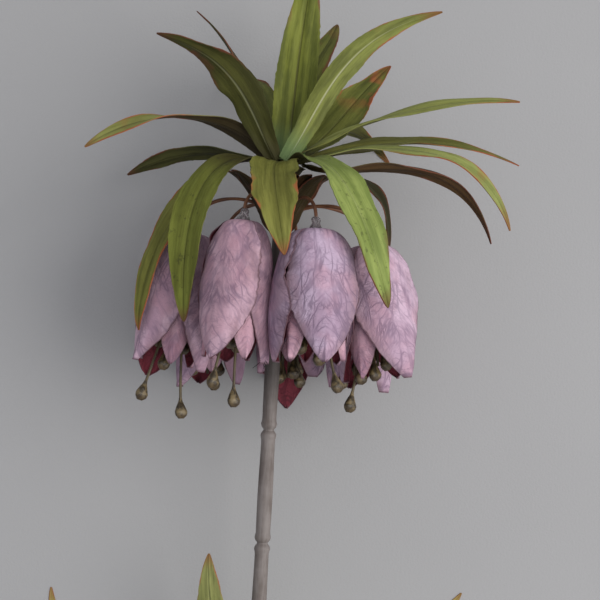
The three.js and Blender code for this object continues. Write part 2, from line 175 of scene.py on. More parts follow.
def sheet(surface, rows, columns, thickness, seed):
    """A closed cloth sheet over surface(v, u), with v from 0 to 1 and u from -1 to 1. Its
    points come with their place on the flat cloth. What would sink into the floor lies on it.
    Its front, on side 1, is a bell's outside and a leaf's upper side."""
    v, u = np.meshgrid(np.linspace(0, 1, rows + 1), np.linspace(-1, 1, columns + 1), indexing="ij")
    step = 1e-3
    middle, cloth = surface(v, u)
    along = surface(v + step, u)[0] - surface(v - step, u)[0]
    across = surface(v, u + step)[0] - surface(v, u - step)[0]
    normal = unit(np.cross(along, across)) * thickness / 2
    front, back = place(middle + normal), place(middle - normal)
    low = np.maximum(np.minimum(front[..., 2], back[..., 2]), 0)
    high = np.maximum(np.maximum(front[..., 2], back[..., 2]), np.clip(thickness - low, 0, thickness))
    front_low = front[..., 2] < back[..., 2]
    front[..., 2] = np.where(front_low, low, high)
    back[..., 2] = np.where(front_low, high, low)
    count = (rows + 1) * (columns + 1)
    skin = grid_faces(rows, columns)
    width = columns + 1
    rim = [j for j in range(columns)] + [i * width + columns for i in range(rows)]
    rim += [rows * width + j for j in range(columns, 0, -1)] + [i * width for i in range(rows, 0, -1)]
    a, b = np.array(rim), np.roll(rim, -1)
    edge = np.stack([b, a, a + count, b + count], -1)
    faces = np.concatenate([skin, skin[:, ::-1] + count, edge])
    flat = np.concatenate([cloth, np.full((*v.shape, 1), 37.0 * seed)], -1).reshape(-1, 3)
    return Shell(
        np.concatenate([front.reshape(-1, 3), back.reshape(-1, 3)]),
        faces,
        np.tile(v.ravel(), 2),
        np.tile(u.ravel(), 2),
        np.repeat([1.0, 0.0], count),
        np.tile(flat, (2, 1)),
    )


def tube(path, radii, sides, seed, finish=0, squeeze=None):
    """A closed round bar along a path. squeeze(angle, share) scales its radius."""
    path = np.asarray(path, float)
    radii = np.broadcast_to(radii, len(path))
    whole = unit(path[-1] - path[0])
    tangent = unit(np.gradient(path, axis=0))
    tangent[np.linalg.norm(tangent, axis=1) < 0.5] = whole
    side = np.array([0.0, 0.0, 1.0]) if abs(whole[2]) < 0.9 else np.array([1.0, 0.0, 0.0])
    angles = np.linspace(0, 2 * math.pi, sides, endpoint=False)
    lengths = np.concatenate([[0], np.cumsum(np.linalg.norm(np.diff(path, axis=0), axis=1))])
    rings = []
    for k, (centre, direction) in enumerate(zip(path, tangent)):
        side = unit(side - side @ direction * direction)
        other = np.cross(direction, side)
        share = squeeze(angles, k / (len(path) - 1)) if squeeze else np.ones(sides)
        reach = (radii[k] * share)[:, None]
        rings.append(centre + reach * (np.cos(angles)[:, None] * side + np.sin(angles)[:, None] * other))
    rows = len(path)
    points = np.concatenate([np.concatenate(rings), path[:1], path[-1:]])
    ring = np.arange(sides)
    after = np.roll(ring, -1)
    last = (rows - 1) * sides
    first_cap = np.stack([np.full(sides, rows * sides), after, ring, ring], -1)
    last_cap = np.stack([np.full(sides, rows * sides + 1), last + ring, last + after, last + after], -1)
    faces = np.concatenate([grid_faces(rows - 1, sides, wrap=True), first_cap, last_cap])
    share = np.append(np.repeat(lengths / lengths[-1], sides), [0, 1])
    turn = np.append(np.tile(angles / math.pi - 1, rows), [0, 0])
    along = np.append(np.repeat(lengths, sides), [0, lengths[-1]])
    flat = np.stack([turn * math.pi * radii.max(), along, np.full(len(points), 37.0 * seed)], -1)
    return Shell(place(points), faces, share, turn, 1.0, flat, finish)


CREASE_ANGLE = math.radians(40)  # edges that turn more than this stay sharp


def make_piece(name, shells, looks, nodes):
    """One Blender piece from its shells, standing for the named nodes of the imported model."""
    points, quads, finishes, marks, cloth = [], [], [], {}, []
    offset = 0
    for shell in shells:
        points.append(shell.points * MM)
        quads.append(shell.faces + offset)
        finishes.append(np.full(len(shell.faces), shell.finish))
        for key, values in shell.marks.items():
            marks.setdefault(key, []).append(values)
        cloth.append(shell.cloth)
        offset += len(shell.points)
    faces = [list(dict.fromkeys(face)) for face in np.concatenate(quads).tolist()]
    mesh = bpy.data.meshes.new(name)
    mesh.from_pydata(np.concatenate(points).tolist(), [], faces)
    for key, values in marks.items():
        layer = mesh.attributes.new(key, "FLOAT", "POINT")
        layer.data.foreach_set("value", np.concatenate(values).astype(np.float32))
    layer = mesh.attributes.new("cloth", "FLOAT_VECTOR", "POINT")
    layer.data.foreach_set("vector", np.concatenate(cloth).astype(np.float32).ravel())
    for look in looks:
        mesh.materials.append(look)
    mesh.polygons.foreach_set("material_index", np.concatenate(finishes).astype(np.int32))
    mesh.shade_smooth()
    mesh.set_sharp_from_angle(angle=CREASE_ANGLE)
    mesh.update()
    piece = bpy.data.objects.new(name, mesh)
    bpy.context.scene.collection.objects.link(piece)
    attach(piece, "root")
    if nodes:
        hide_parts(*nodes)
    return piece


# ---- materials ----


class Look:
    """A material's node tree, with one call for each kind of node that it needs."""

    def __init__(self, name, roughness, specular):
        self.material = bpy.data.materials.new(name)
        self.material.use_nodes = True
        self.tree = self.material.node_tree
        self.shader = self.tree.nodes["Principled BSDF"]
        self.shader.inputs["Roughness"].default_value = roughness
        self.shader.inputs["Specular IOR Level"].default_value = specular

    def node(self, kind, inputs=(), **settings):
        made = self.tree.nodes.new("ShaderNode" + kind)
        for key, value in settings.items():
            setattr(made, key, value)
        for key, value in dict(inputs).items():
            if isinstance(value, bpy.types.NodeSocket):
                self.tree.links.new(value, made.inputs[key])
            else:
                made.inputs[key].default_value = value
        return made

    def mark(self, name, output="Fac"):
        return self.node("Attribute", attribute_name=name).outputs[output]

    def maths(self, operation, a, b=0.0, c=0.0):
        return self.node("Math", {0: a, 1: b, 2: c}, operation=operation).outputs[0]

    def fade(self, value, low, high, start=0.0, end=1.0):
        """From start at low to end at high, and flat beyond."""
        sockets = {"Value": value, "From Min": low, "From Max": high, "To Min": start, "To Max": end}
        return self.node("MapRange", sockets, interpolation_type="SMOOTHSTEP").outputs[0]

    def stretched(self, vector, x, y):
        return self.node("Mapping", {"Vector": vector, "Scale": (x, y, 1.0)}).outputs[0]

    def noise(self, vector, scale, detail, roughness=0.55):
        sockets = {"Vector": vector, "Scale": scale, "Detail": detail, "Roughness": roughness}
        return self.node("TexNoise", sockets).outputs["Fac"]

    def warped(self, vector, scale, reach):
        """The vector moved about by a noise, by up to half of reach each way."""
        noise = self.node("TexNoise", {"Vector": vector, "Scale": scale, "Detail": 2.0})
        sockets = {0: noise.outputs["Color"], 1: (0.5, 0.5, 0.5)}
        centred = self.node("VectorMath", sockets, operation="SUBTRACT")
        moved = self.node("VectorMath", {0: centred.outputs[0], 3: reach}, operation="SCALE")
        return self.node("VectorMath", {0: vector, 1: moved.outputs[0]}, operation="ADD").outputs[0]

    def veins(self, vector, scale, width):
        """Wandering lines along a noise's middle level, 1 on a line and 0 off it."""
        off_level = self.maths("SUBTRACT", self.noise(vector, scale, 2.0, 0.5), 0.5)
        return self.fade(self.maths("ABSOLUTE", off_level), 0.0, width, 1.0, 0.0)

    def mix(self, share, a, b):
        made = self.node("Mix", data_type="RGBA")
        for index, value in ((0, share), (6, a), (7, b)):
            if isinstance(value, bpy.types.NodeSocket):
                self.tree.links.new(value, made.inputs[index])
            else:
                made.inputs[index].default_value = (*value, 1.0) if index else value
        return made.outputs[2]

    def colour(self, socket):
        self.tree.links.new(socket, self.shader.inputs["Base Color"])

    def roughness(self, socket):
        self.tree.links.new(socket, self.shader.inputs["Roughness"])

    def bump(self, height, depth):
        """Raises the surface by depth millimetres where height is 1."""
        made = self.node("Bump", {"Height": height, "Distance": depth * MM, "Strength": 1.0})
        self.tree.links.new(made.outputs[0], self.shader.inputs["Normal"])


VEIN_SLANT = 0.65  # the feathery veins' angle to the middle of a petal
# Painted shade that the bells cast on the top of the stem: where it ends, how strong and how dark it is.
STEM_PAINTED_SHADE = (78, 106)  # painted shade of the bells on the stem: dark between the bells, and pale again this far down it
PAINTED_SHADE_STRENGTH = 0.7
PAINTED_SHADE_BROWN = (0.02, 0.015, 0.012)
PLASTIC_GRAIN = 0.3  # the fine grain against the long streaks
PLASTIC_RELIEF = 0.12
WARM_PINK = (0.56, 0.3, 0.36)
# the petals' brown margins, deepened by painted shade at their sides
MARGIN_BROWN_AND_SHADE = (0.26, 0.16, 0.17)
RIM_BROWN = (0.1, 0.05, 0.06)
INSIDE_VEIN = (0.03, 0.01, 0.015)
VEIN_PURPLE = (0.13, 0.085, 0.14)
SHADOW_LILAC = (0.23, 0.16, 0.23)
PALE_RIB = (0.42, 0.42, 0.24)
DARK_RIB = (0.055, 0.05, 0.016)


def petal_look(name, pale, deep, inside, vein, seed):
    """Printed cloth: pale and deep tones under feathery veins outside, dark red inside."""
    look = Look(name, roughness=0.75, specular=0.2)
    cloth = look.node("VectorMath", {0: look.mark("cloth", "Vector"), 1: (0, 0, seed)}, operation="ADD")
    cloth = cloth.outputs[0]
    mirrored = look.node("VectorMath", {0: cloth}, operation="ABSOLUTE").outputs[0]
    along = look.mark("along")
    off_centre = look.maths("ABSOLUTE", look.mark("across"))
    tone = look.noise(look.stretched(cloth, 1.0, 0.5), 0.08, 4.0, 0.65)
    outside = look.mix(look.fade(tone, 0.38, 0.62), pale, deep)
    warmth = look.fade(look.noise(cloth, 0.06, 2.0), 0.45, 0.62)
    outside = look.mix(look.maths("MULTIPLY", warmth, 0.4), outside, WARM_PINK)
    # Browner towards a petal's sides: partly the cloth's brown margins, partly painted shade where the bell
    # turns away.
    margin = look.maths("MULTIPLY", look.fade(off_centre, 0.45, 1.0), look.fade(tone, 0.3, 0.55))
    outside = look.mix(look.maths("MULTIPLY", margin, 0.6), outside, MARGIN_BROWN_AND_SHADE)
    feathered = look.node("Mapping", {"Vector": mirrored, "Rotation": (0, 0, VEIN_SLANT)}).outputs[0]
    feathered = look.stretched(look.warped(feathered, 0.07, 7.0), 1.0, 0.2)
    lengthwise = look.stretched(look.warped(cloth, 0.06, 7.0), 1.0, 0.12)
    veins = look.maths("MAXIMUM", look.veins(feathered, 0.2, 0.045), look.veins(lengthwise, 0.15, 0.035))
    shades = look.maths("MAXIMUM", look.veins(feathered, 0.2, 0.14), look.veins(lengthwise, 0.15, 0.11))
    twigs = look.veins(look.stretched(look.warped(cloth, 0.12, 5.0), 0.45, 1.0), 0.3, 0.035)
    strong = look.fade(look.noise(cloth, 0.08, 2.0), 0.38, 0.6, 0.35, 1.0)
    shades = look.maths("MULTIPLY", look.maths("MULTIPLY", shades, strong), 0.6 * vein)
    outside = look.mix(shades, outside, SHADOW_LILAC)
    net = look.maths("MULTIPLY", look.maths("MAXIMUM", veins, look.maths("MULTIPLY", twigs, 0.6)), strong)
    outside = look.mix(look.maths("MULTIPLY", net, vein), outside, VEIN_PURPLE)
    fibres = look.noise(look.stretched(feathered, 1.0, 0.5), 1.1, 3.0, 0.7)
    outside = look.mix(look.fade(fibres, 0.45, 0.8, 0.0, 0.4), outside, SHADOW_LILAC)
    inner_tone = look.mix(look.fade(tone, 0.3, 0.7), inside, [0.5 * c for c in inside])
    # Paler towards the mouth: painted shade deeper inside the bell.
    inner_tone = look.mix(look.fade(along, 0.45, 1.0), inner_tone, [1.25 * c for c in inside])
    inner_tone = look.mix(look.maths("MULTIPLY", net, 0.5), inner_tone, INSIDE_VEIN)
    both = look.mix(look.mark("side"), inner_tone, outside)
    ragged = look.maths("MULTIPLY_ADD", look.noise(cloth, 0.5, 2.0), 0.06, -0.03)
    rim = look.fade(look.maths("ADD", off_centre, ragged), 0.94, 0.99)
    rim = look.maths("MAXIMUM", rim, look.fade(along, 0.985, 1.0))
    look.colour(look.mix(look.maths("MULTIPLY", rim, 0.75), both, RIM_BROWN))
    weave = look.noise(cloth, 2.2, 3.0, 0.7)
    look.roughness(look.fade(weave, 0.2, 0.8, 0.62, 0.88))
    crease = look.noise(look.stretched(feathered, 1.0, 2.0), 0.25, 4.0, 0.6)
    height = look.maths("MULTIPLY_ADD", fibres, 0.5, look.maths("MULTIPLY", weave, 0.25))
    height = look.maths("ADD", crease, height)
    look.bump(look.maths("MULTIPLY_ADD", net, -0.3, height), 0.5)
    return look.material


def leaf_look(name, light, dark, under, edge, spots, rib, red_from, base_colour_and_shade, base_end=0.25, rust=0.3):
    """Printed cloth: soft long folds, a rib, blotches and reddish edges towards the tip."""
    look = Look(name, roughness=0.6, specular=0.2)
    cloth = look.mark("cloth", "Vector")
    along = look.mark("along")
    off_centre = look.maths("ABSOLUTE", look.mark("across"))
    folds = look.noise(look.stretched(cloth, 1.0, 0.05), 0.3, 3.0, 0.6)
    fibres = look.noise(look.stretched(cloth, 1.0, 0.05), 1.7, 3.0, 0.7)
    patches = look.noise(look.stretched(cloth, 1.0, 0.4), 0.08, 4.0, 0.65)
    blend = look.maths("MULTIPLY_ADD", folds, 0.5, look.maths("MULTIPLY", patches, 0.5))
    pattern = look.fade(blend, 0.42, 0.6)
    upper = look.mix(pattern, light, dark)
    lower = look.mix(pattern, under, [0.55 * c for c in under])
    both = look.mix(look.mark("side"), lower, upper)
    both = look.mix(look.fade(fibres, 0.45, 0.75, 0.0, 0.35), both, [0.5 * c for c in dark])
    middle = look.fade(off_centre, 0.02, 0.09, 1.0, 0.0)
    ribbed = look.maths("MULTIPLY", middle, look.fade(along, 0.45, 0.95, 1.0, 0.15))
    rib_colour = PALE_RIB if rib > 0 else DARK_RIB
    both = look.mix(look.maths("MULTIPLY", ribbed, abs(rib)), both, rib_colour)
    blotch = look.fade(look.noise(look.stretched(cloth, 1.0, 0.7), 0.34, 3.0, 0.7), 0.6, 0.68)
    both = look.mix(look.maths("MULTIPLY", blotch, spots), both, (0.035, 0.035, 0.012))
    stain = look.fade(look.noise(cloth, 0.07, 2.0), 0.56, 0.68)
    stain = look.maths("MULTIPLY", stain, look.fade(along, red_from - 0.1, red_from + 0.3, 0.0, rust))
    both = look.mix(stain, both, edge)
    # the base's colour: painted shade under the crown for most leaves, a fresher green for some
    both = look.mix(look.fade(along, base_end - 0.22, base_end, 0.85, 0.0), both, base_colour_and_shade)
    ragged = look.maths("MULTIPLY_ADD", look.noise(cloth, 0.12, 3.0), 0.7, -0.38)
    rim = look.fade(look.maths("ADD", off_centre, ragged), 0.84, 0.98)
    rim = look.maths("MULTIPLY", rim, look.fade(along, red_from - 0.12, red_from + 0.12))
    both = look.mix(look.maths("MULTIPLY", rim, 0.9), both, edge)
    tip = look.maths("MULTIPLY", look.fade(along, 0.9, 1.0), 0.7)
    look.colour(look.mix(tip, both, [0.7 * c for c in edge]))
    look.roughness(look.fade(fibres, 0.3, 0.7, 0.5, 0.7))
    grain = look.noise(cloth, 2.5, 2.0, 0.6)
    height = look.maths("MULTIPLY_ADD", fibres, 0.35, look.maths("MULTIPLY", folds, 0.9))
    height = look.maths("MULTIPLY_ADD", grain, 0.15, height)
    look.bump(look.maths("MULTIPLY_ADD", middle, -0.6, height), 0.4)
    return look.material


def plastic_look(name, light, dark, roughness, streak=0.1, painted_shade=None):
    """Moulded plastic or wrapped wire, with long streaks and a fine grain. Its last argument, if
    given, is a pair of distances along the piece, between which painted shade over its top end
    fades out."""
    look = Look(name, roughness=roughness, specular=0.4)
    cloth = look.mark("cloth", "Vector")
    streaks = look.noise(look.stretched(cloth, 1.0, streak), 0.5, 4.0, 0.65)
    stains = look.noise(cloth, 0.06, 3.0, 0.6)
    tone = look.maths("MULTIPLY_ADD", streaks, 0.5, look.maths("MULTIPLY", stains, 0.5))
    colour = look.mix(look.fade(tone, 0.38, 0.64), light, dark)
    # painted shade over the top end, where the bells shade the stem
    if painted_shade:
        along = look.node("SeparateXYZ", {"Vector": cloth}).outputs[1]
        colour = look.mix(look.fade(along, *painted_shade, PAINTED_SHADE_STRENGTH, 0.0), colour, PAINTED_SHADE_BROWN)
    look.colour(colour)
    fine = look.noise(cloth, 3.0, 3.0, 0.6)
    look.roughness(look.fade(fine, 0.3, 0.7, roughness - 0.1, roughness + 0.12))
    look.bump(look.maths("MULTIPLY_ADD", fine, PLASTIC_GRAIN, streaks), PLASTIC_RELIEF)
    return look.material


def anther_look():
    look = Look("anther_resin", roughness=0.42, specular=0.5)
    cloth = look.mark("cloth", "Vector")
    blobs = look.noise(cloth, 0.35, 4.0, 0.6)
    pale = look.mix(look.fade(blobs, 0.38, 0.58), (0.18, 0.13, 0.06), (0.035, 0.024, 0.011))
    # Darker towards the open end: painted shade in the anther's hollow end.
    tip = look.fade(look.mark("along"), 0.7, 0.95)
    look.colour(look.mix(look.maths("MULTIPLY", tip, 0.7), pale, (0.06, 0.035, 0.015)))
    look.bump(blobs, 0.5)
    return look.material


def glue_look():
    look = Look("clear_glue", roughness=0.12, specular=0.6)
    look.shader.inputs["Base Color"].default_value = (0.42, 0.37, 0.38, 1.0)
    look.shader.inputs["Transmission Weight"].default_value = 0.7
    look.shader.inputs["IOR"].default_value = 1.45
    look.bump(look.noise(look.mark("cloth", "Vector"), 0.6, 3.0), 0.3)
    return look.material


def floor_look():
    look = Look("plain_floor", roughness=0.9, specular=0.1)
    place_on = look.node("TexCoord").outputs["Object"]
    cloudy = look.noise(place_on, 6.0, 3.0)
    look.colour(look.mix(cloudy, (0.375, 0.37, 0.37), (0.415, 0.41, 0.41)))
    look.bump(look.noise(place_on, 900.0, 2.0), 0.1)
    return look.material


# ---- crown disc and stem ----


def profile_tube(profile, top, bottom, sides, seed):
    """A round body on the stem's axis: profile(height) gives its radius."""
    heights = np.concatenate([[top], profile[0], [bottom]])
    radii = np.concatenate([[0.02], profile[1], [0.02]])
    path = np.stack([np.zeros_like(heights), np.zeros_like(heights), heights], -1)
    return tube(path, radii, sides, seed)


def stem_radius(height):
    """The stem's radius at a height, with the groove and swollen lips of each moulded ring."""
    radius = np.full_like(height, STEM_RADIUS)
    for ring in np.arange(FIRST_JOINT, STEM_LENGTH - 10, JOINT_SPACING):
        off = height + ring
        radius += 0.45 * np.exp(-(((np.abs(off) - 2.6) / 1.3) ** 2))
        radius -= (STEM_RADIUS - WAIST_RADIUS + 0.35) * np.exp(-((off / 0.85) ** 2))
    return radius


def make_stem():
    top, bottom = -HEAD_HEIGHT - FIT_GAP, -STEM_LENGTH
    heights = np.linspace(top, bottom, 900)
    radii = stem_radius(heights) + 0.1 * ripples(3, heights / 60, 0 * heights)
    radii[0] -= 0.3
    radii[-1] -= 0.15
    shell = profile_tube((heights, radii), top, bottom, 40, 1)
    # the stem's top end gets painted shade from the bells
    look = plastic_look("stem_plastic", (0.23, 0.2, 0.187), (0.128, 0.102, 0.09), 0.55, painted_shade=STEM_PAINTED_SHADE)
    make_piece("moulded_stem", [shell], [look], ["stem"])
    share = np.linspace(0, 1, 30)
    cone = np.stack([-share * HEAD_HEIGHT, DISC_RADIUS - (DISC_RADIUS - STEM_RADIUS) * share**0.7], 0)
    cap = np.linspace(0.05, 1, 16)
    heights = np.concatenate([DISC_PEAK * (1 - cap**1.5), cone[0]])
    radii = np.concatenate([DISC_RADIUS * cap, cone[1]])
    head = profile_tube((heights, radii), DISC_PEAK, -HEAD_HEIGHT, 36, 2)
    look = plastic_look("crown_plastic", (0.1, 0.09, 0.035), (0.05, 0.035, 0.02), 0.6)
    make_piece("crown_head", [head], [look], ["crown_disc"])


# ---- leaves ----


def through(points, t):
    """The curve through four points at thirds of its parameter."""
    third, two_thirds = t - 1 / 3, t - 2 / 3
    weights = [
        -4.5 * third * two_thirds * (t - 1),
        13.5 * t * two_thirds * (t - 1),
        -13.5 * t * third * (t - 1),
        4.5 * t * third * two_thirds,
    ]
    return sum(w[..., None] * np.asarray(p, float) for w, p in zip(weights, points))


def strap(t, half, foot):
    """Half width along a strap leaf: a share, foot, of it at its base, all of it near its
    middle, then falling to a point."""
    widest = 0.48
    rise = foot + (1 - foot) * np.sin(math.pi / 2 * np.clip(t, 0, widest) / widest)
    fall = np.cos(math.pi / 2 * (np.clip(t, widest, 1) - widest) / (1 - widest))
    share = np.where(t < widest, rise, np.maximum(fall, 0) ** 0.8)
    return TIP_WIDTH + (half - TIP_WIDTH) * share


class Leaf:
    """A leaf's base azimuth, three more points of its midrib at thirds of its length, its
    half width, the azimuth that its back faces, its roll at base and tip, and the share of
    its width that it has at its base."""

    def __init__(self, base, third, two_thirds, tip, half, face, roll_base=0, roll_tip=0, foot=0.28):
        self.base, self.route = base, [third, two_thirds, tip]
        self.half, self.face, self.foot = half, face, foot
        self.roll = (roll_base, roll_tip)


def leaf_shell(leaf, points, seed, pleats, wave):
    facing = around(leaf.face + 90, 1)

    def surface(v, u):
        middle = through(points, v)
        along = unit(through(points, v + 1e-3) - through(points, v - 1e-3))
        side = unit(facing - (along @ facing)[..., None] * along)
        under = np.cross(side, along)
        turn = np.radians(leaf.roll[0] + (leaf.roll[1] - leaf.roll[0]) * v)[..., None]
        across = side * np.cos(turn) + under * np.sin(turn)
        up = side * np.sin(turn) - under * np.cos(turn)
        width = strap(v, leaf.half, leaf.foot)
        margin = 1 + 0.05 * ripples(seed, v * 4, u) + 0.018 * ripples(seed + 1, v * 22, u)
        reach = u * width * np.where(np.abs(u) > 0.6, margin, 1 + (margin - 1) * np.abs(u) / 0.6)
        fold = LEAF_FOLD * width * (np.sqrt(u * u + 0.012) - 0.11)
        ridge = -0.16 * np.cos(u * math.pi * pleats) * np.minimum(width / 5, 1)
        flutter = wave * np.abs(u) ** 1.5 * ripples(seed + 2, v * 2.6, u * 0.35) * np.minimum(width / 5, 1)
        lift = (fold + ridge + flutter)[..., None]
        length = np.linalg.norm(np.diff(points, axis=0), axis=1).sum()
        flat = np.stack([u * width, v * length], -1)
        return middle + across * reach[..., None] + up * lift, flat

    return sheet(surface, LEAF_ROWS, LEAF_COLUMNS, LEAF_CLOTH, seed)


CROWN_LEAVES = [
    (1, Leaf(62, [3, 4, 31], [5, 3, 62], [9, 2, 93], 9.2, 90, foot=0.75)),
    (2, Leaf(230, [-16, -12, 25], [-31, -18, 43], [-59, -20, 55], 8.8, 255, 0, 15)),
    (1, Leaf(190, [-12, 8, 24], [-25, 14, 49], [-44, 22, 71], 4.5, 175)),
    (2, Leaf(185, [-30, -3, 18], [-60, -8, 18], [-89, -8, 4], 6.0, 190, -70, 60, foot=0.45)),
    (2, Leaf(148, [-32, 18, 6], [-52, 30, 4], [-73, 38, -5], 5.5, 160, 0, -60)),
    (3, Leaf(225, [-32, -28, -7], [-40, -39, -38], [-39, -38, -71], 9.0, 240)),
    (3, Leaf(185, [-36, -13, -8], [-54, -25, -41], [-59, -27, -76], 6.5, 230)),
    (3, Leaf(267, [-4, -27, -2], [-2, -44, -16], [3, -53, -40], 10.3, 270, foot=0.9)),
    (3, Leaf(305, [23, -31, -2], [38, -46, -28], [49, -40, -60], 9.6, 300, foot=0.4)),
    (3, Leaf(25, [23, 7, 0], [42, 8, -8], [49, 4, -37], 5.5, 330)),
    (2, Leaf(277, [14, -9, 28], [32, -10, 54], [67, -8, 73], 5.6, 280, foot=0.6)),
    (2, Leaf(58, [19, 17, 18], [31, 29, 34], [47, 42, 53], 9.6, 80)),
    (2, Leaf(108, [1, 15, 28], [12, 27, 52], [21, 43, 71], 7.2, 85)),
    (1, Leaf(330, [30, 0, 19], [65, -4, 31], [104, -6, 35], 5.2, 0, -10, -35)),
    (2, Leaf(10, [35, 5, 12], [69, 4, 15], [106, 2, 7], 5.2, 5, -40, -15)),
    (2, Leaf(322, [33, -6, 9], [73, -10, 8], [102, -14, -23], 5.6, 350, 0, -40)),
    (3, Leaf(345, [32, -9, 0], [67, -6, 0], [95, -2, -29], 5.4, 350, 0, 35)),
    (3, Leaf(145, [-24, 14, 1], [-40, 20, -12], [-50, 18, -39], 4.6, 160)),
    (3, Leaf(105, [-8, 26, 22], [-16, 50, 40], [-30, 76, 44], 7.0, 100)),
    (3, Leaf(65, [14, 28, 16], [30, 52, 22], [50, 72, 8], 7.0, 65)),
]

STEM_LEAVES = [
    (0, Leaf(230, [-12, -12, 22], [-20, -18, 50], [-23, -18, 79], 8.2, 255)),
    (0, Leaf(165, [-40, 16, 2], [-78, 33, 16], [-98, 43, 52], 6.5, 180, 30, 85)),
    (0, Leaf(20, [34, 13, 10], [66, 28, 30], [94, 43, 60], 6.5, 0, -30, -85)),
    (0, Leaf(300, [14, -20, 14], [30, -34, 22], [52, -38, 16], 6.5, 300)),
    (0, Leaf(90, [-3, 18, 14], [-8, 32, 28], [-12, 42, 44], 5.5, 90)),
    (1, Leaf(200, [-30, -8, 14], [-62, -14, 22], [-92, -12, 12], 6.5, 200, 0, 30)),
    (1, Leaf(270, [4, -22, 18], [10, -38, 38], [16, -46, 64], 6.5, 270)),
    (1, Leaf(335, [30, -10, 10], [60, -18, 8], [88, -18, -12], 6.5, 340, 0, -30)),
    (1, Leaf(45, [24, 12, 12], [52, 20, 30], [78, 31, 52], 6.0, 20, -40, -85)),
    (1, Leaf(135, [-24, 12, 4], [-50, 20, -2], [-76, 24, -14], 6.0, 160, 40, 85)),
]

RED = (0.36, 0.1, 0.04)
BROWN = (0.17, 0.055, 0.03)
# Painted shade at the leaves' bases, under the crown: this colour and the next, darker one.
SHADE = (0.05, 0.045, 0.015)
DEEP_SHADE = (0.035, 0.025, 0.01)
FRESH = (0.14, 0.22, 0.09)

# Light and dark tones, underside, edge colour, spots, rib (dark if negative), where the
# edges turn red, the colour at the base (painted shade for most, a fresher green for leaves 1
# and 11), and where that ends and how rusty the tip is if not as usual, for each crown leaf.
LEAF_TONES = [
    ((0.2, 0.22, 0.035), (0.1, 0.115, 0.018), (0.13, 0.14, 0.03), BROWN, 0.1, -0.7, 0.75, FRESH),
    ((0.09, 0.09, 0.02), (0.05, 0.05, 0.01), (0.08, 0.08, 0.016), BROWN, 0.15, 0.35, 0.6, SHADE, 0.25, 0.7),
    ((0.06, 0.055, 0.016), (0.03, 0.028, 0.008), (0.07, 0.06, 0.018), BROWN, 0.1, 0.0, 0.5, SHADE),
    ((0.3, 0.31, 0.09), (0.2, 0.2, 0.05), (0.06, 0.04, 0.015), RED, 0.0, 0.1, 0.45, DEEP_SHADE, 0.45),
    ((0.11, 0.12, 0.03), (0.06, 0.065, 0.016), (0.08, 0.08, 0.02), BROWN, 0.2, 0.0, 0.6, SHADE, 0.25, 0.8),
    ((0.19, 0.21, 0.035), (0.12, 0.13, 0.02), (0.13, 0.13, 0.03), BROWN, 0.5, -0.25, 0.9, DEEP_SHADE, 0.38),
    ((0.2, 0.2, 0.04), (0.13, 0.13, 0.025), (0.12, 0.11, 0.03), RED, 0.15, 0.0, 0.3, DEEP_SHADE, 0.38, 0.0),
    ((0.21, 0.21, 0.045), (0.13, 0.13, 0.025), (0.14, 0.12, 0.03), RED, 0.1, -0.25, 0.5, SHADE),
    ((0.28, 0.34, 0.09), (0.17, 0.22, 0.05), (0.17, 0.18, 0.06), BROWN, 0.45, 0.12, 0.75, SHADE),
    ((0.05, 0.045, 0.015), (0.028, 0.024, 0.008), (0.05, 0.04, 0.014), BROWN, 0.2, 0.0, 0.5, SHADE),
    ((0.24, 0.27, 0.06), (0.14, 0.16, 0.03), (0.22, 0.24, 0.055), RED, 0.1, 0.9, 0.7, FRESH),
    ((0.17, 0.18, 0.035), (0.1, 0.11, 0.02), (0.12, 0.12, 0.03), RED, 0.2, -0.4, 0.6, SHADE, 0.25, 0.8),
    ((0.14, 0.15, 0.03), (0.085, 0.09, 0.018), (0.1, 0.1, 0.03), BROWN, 0.2, 0.1, 0.6, SHADE),
    ((0.28, 0.3, 0.08), (0.19, 0.2, 0.05), (0.17, 0.17, 0.05), RED, 0.05, 0.2, 0.85, SHADE),
    ((0.17, 0.17, 0.04), (0.1, 0.1, 0.022), (0.12, 0.1, 0.03), RED, 0.1, 0.1, 0.65, SHADE),
    ((0.3, 0.33, 0.1), (0.2, 0.22, 0.06), (0.15, 0.14, 0.05), RED, 0.1, 0.2, 0.5, SHADE),
    ((0.085, 0.08, 0.02), (0.05, 0.04, 0.012), (0.1, 0.055, 0.02), BROWN, 0.2, 0.0, 0.5, SHADE),
    ((0.06, 0.045, 0.015), (0.035, 0.025, 0.01), (0.07, 0.04, 0.02), BROWN, 0.2, 0.0, 0.45, SHADE),
    ((0.17, 0.18, 0.035), (0.1, 0.11, 0.02), (0.12, 0.12, 0.03), BROWN, 0.3, 0.3, 0.6, SHADE),
    ((0.18, 0.19, 0.04), (0.11, 0.12, 0.025), (0.12, 0.12, 0.03), RED, 0.2, 0.2, 0.5, SHADE),
]
STEM_LEAF_TONE = ((0.46, 0.5, 0.16), (0.29, 0.31, 0.08), (0.3, 0.31, 0.1), RED, 0.15, 0.3, 0.8, SHADE)
PLEATS = [3.2, 2.2, 2.0, 2.0, 2.0, 2.4, 2.4, 4.2, 2.6, 2.0, 3.0, 3.0, 2.2, 2.0, 2.0, 2.0, 2.0, 2.0, 2.5, 2.5]


# Azimuth, reach and drop of each leaf base that rises from the stem to under the crown.
SHEATHS = [
    (222, 32, 29),
    (208, 30, 27),
    (232, 24, 29),
    (193, 26, 24),
    (245, 19, 25),
    (262, 15, 18),
    (286, 15, 20),
    (300, 23, 28),
    (309, 28, 29),
    (322, 27, 27),
    (340, 24, 24),
    (5, 22, 26),
    (40, 22, 25),
    (75, 20, 27),
    (110, 21, 24),
    (150, 24, 27),
    (172, 24, 28),
]
